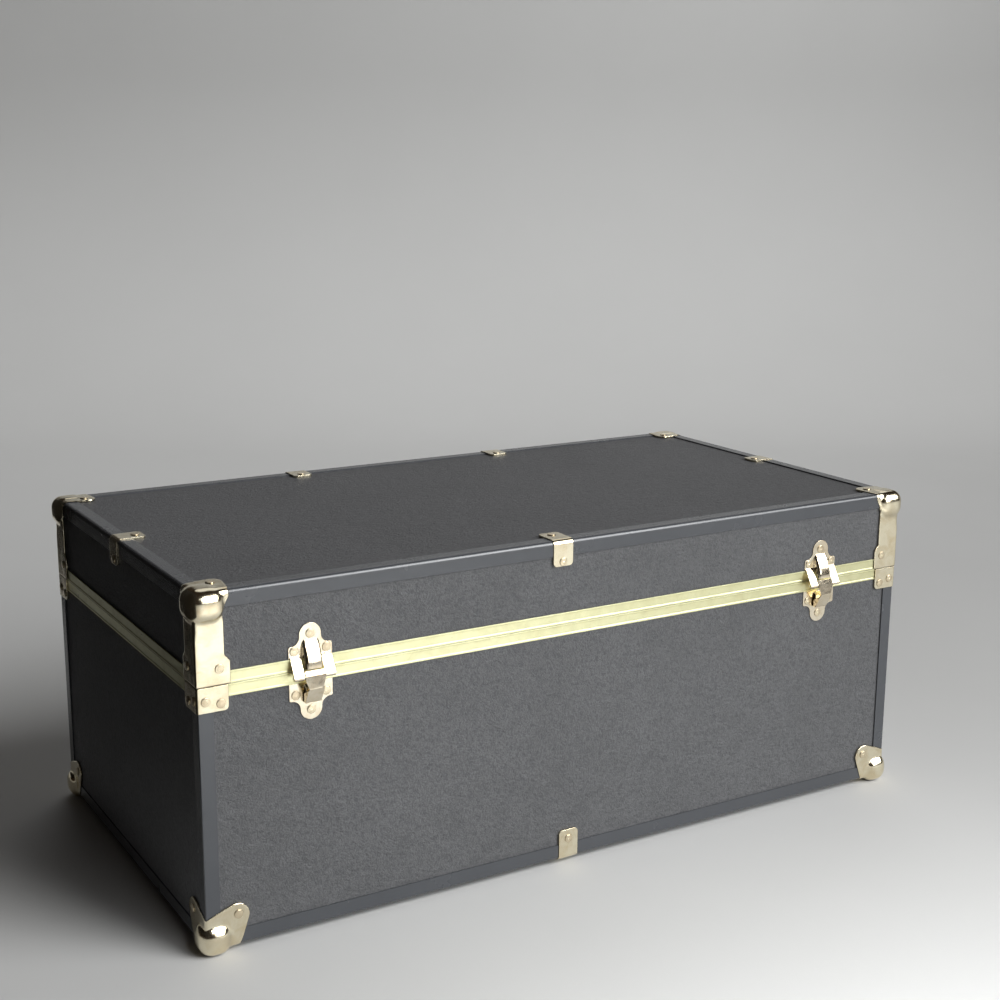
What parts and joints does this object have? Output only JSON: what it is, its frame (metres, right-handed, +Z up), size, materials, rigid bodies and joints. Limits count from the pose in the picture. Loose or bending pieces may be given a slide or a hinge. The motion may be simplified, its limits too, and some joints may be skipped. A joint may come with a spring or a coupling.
{
  "type": "steamer trunk",
  "caption": "Low rectangular storage trunk with a hinged lid, black covered panels, brass rims and ball corners, front draw latches and inside lid stays.",
  "frame": {"origin": "on the floor, under the middle of the trunk's outer box", "axes": "+X to the trunk's right along its length, -Y out of the latched front, +Z up"},
  "size_m": [0.824, 0.4481, 0.3407],
  "materials": {
    "covered_plywood": "plywood covered with black grained fibre sheet, matt, faintly mottled",
    "black_binding": "satin black folded edging with rubbed edges",
    "pressed_brass": "pale brass-plated pressings, bright with light tarnish",
    "rolled_brass": "rolled greenish-gold brass rim, brushed along its length",
    "latch_brass": "bright pale brass plate",
    "rivet_brass": "brass-plated round heads, dulled",
    "plain_steel": "zinc-plated steel",
    "lining_paper": "plain buff lining paper"
  },
  "bodies": {
    "base": {"base_front_panel": "covered_plywood", "base_back_panel": "covered_plywood", "base_left_panel": "covered_plywood", "base_right_panel": "covered_plywood", "base_bottom_panel": "covered_plywood", "base_binding_front": "black_binding", "base_binding_back": "black_binding", "base_binding_left": "black_binding", "base_binding_right": "black_binding", "post_binding_front_left": "black_binding", "rim_corner_front_left": "pressed_brass", "foot_corner_front_left": "pressed_brass", "post_binding_front_right": "black_binding", "rim_corner_front_right": "pressed_brass", "foot_corner_front_right": "pressed_brass", "post_binding_back_left": "black_binding", "rim_corner_back_left": "pressed_brass", "foot_corner_back_left": "pressed_brass", "post_binding_back_right": "black_binding", "rim_corner_back_right": "pressed_brass", "foot_corner_back_right": "pressed_brass", "base_edge_clamps": "pressed_brass", "base_valance": "rolled_brass", "base_lining": "lining_paper", "base_rivets": "rivet_brass", "hinge_pins": "plain_steel", "stay_studs": "plain_steel", "latch_keeper_left": "latch_brass", "hinge_base_leaf_left": "latch_brass", "latch_keeper_right": "latch_brass", "hinge_base_leaf_right": "latch_brass"},
    "lid": {"lid_front_panel": "covered_plywood", "lid_back_panel": "covered_plywood", "lid_left_panel": "covered_plywood", "lid_right_panel": "covered_plywood", "lid_top_panel": "covered_plywood", "lid_binding_front": "black_binding", "lid_binding_back": "black_binding", "lid_binding_left": "black_binding", "lid_binding_right": "black_binding", "lid_corner_front_left": "pressed_brass", "lid_corner_front_right": "pressed_brass", "lid_corner_back_left": "pressed_brass", "lid_corner_back_right": "pressed_brass", "lid_edge_clamps": "pressed_brass", "lid_valance": "rolled_brass", "lid_lining": "lining_paper", "lid_rivets": "rivet_brass", "latch_pins": "plain_steel", "stay_pivots": "plain_steel", "latch_plate_left": "latch_brass", "hinge_lid_leaf_left": "latch_brass", "latch_plate_right": "latch_brass", "hinge_lid_leaf_right": "latch_brass"},
    "latch_lever_left": {"latch_lever_left": "latch_brass"},
    "latch_lever_right": {"latch_lever_right": "latch_brass"},
    "stay_arm_left": {"stay_arm_left": "plain_steel"},
    "stay_arm_right": {"stay_arm_right": "plain_steel"}
  },
  "joints": [
    {"name": "lid_hinge", "type": "hinge", "parent": "base", "child": "lid", "pos_m": [0, 0.22, 0.254], "axis": [-1, 0, 0], "range_deg": [0, 100]},
    {"name": "latch_left_lever", "type": "hinge", "parent": "lid", "child": "latch_lever_left", "pos_m": [-0.2995, -0.2198, 0.25], "axis": [-1, 0, 0], "range_deg": [0, 115]},
    {"name": "stay_left_turn", "type": "hinge", "parent": "lid", "child": "stay_arm_left", "pos_m": [-0.3918, 0.114, 0.284], "axis": [-1, 0, 0], "range_deg": [-50, 0]},
    {"name": "latch_right_lever", "type": "hinge", "parent": "lid", "child": "latch_lever_right", "pos_m": [0.2963, -0.2198, 0.25], "axis": [-1, 0, 0], "range_deg": [0, 115]},
    {"name": "stay_right_turn", "type": "hinge", "parent": "lid", "child": "stay_arm_right", "pos_m": [0.3918, 0.114, 0.284], "axis": [-1, 0, 0], "range_deg": [-50, 0]}
  ],
  "couplings": [
    {"joint": "stay_left_turn", "follows": "lid_hinge", "ratio": -0.5},
    {"joint": "stay_right_turn", "follows": "lid_hinge", "ratio": -0.5}
  ]
}
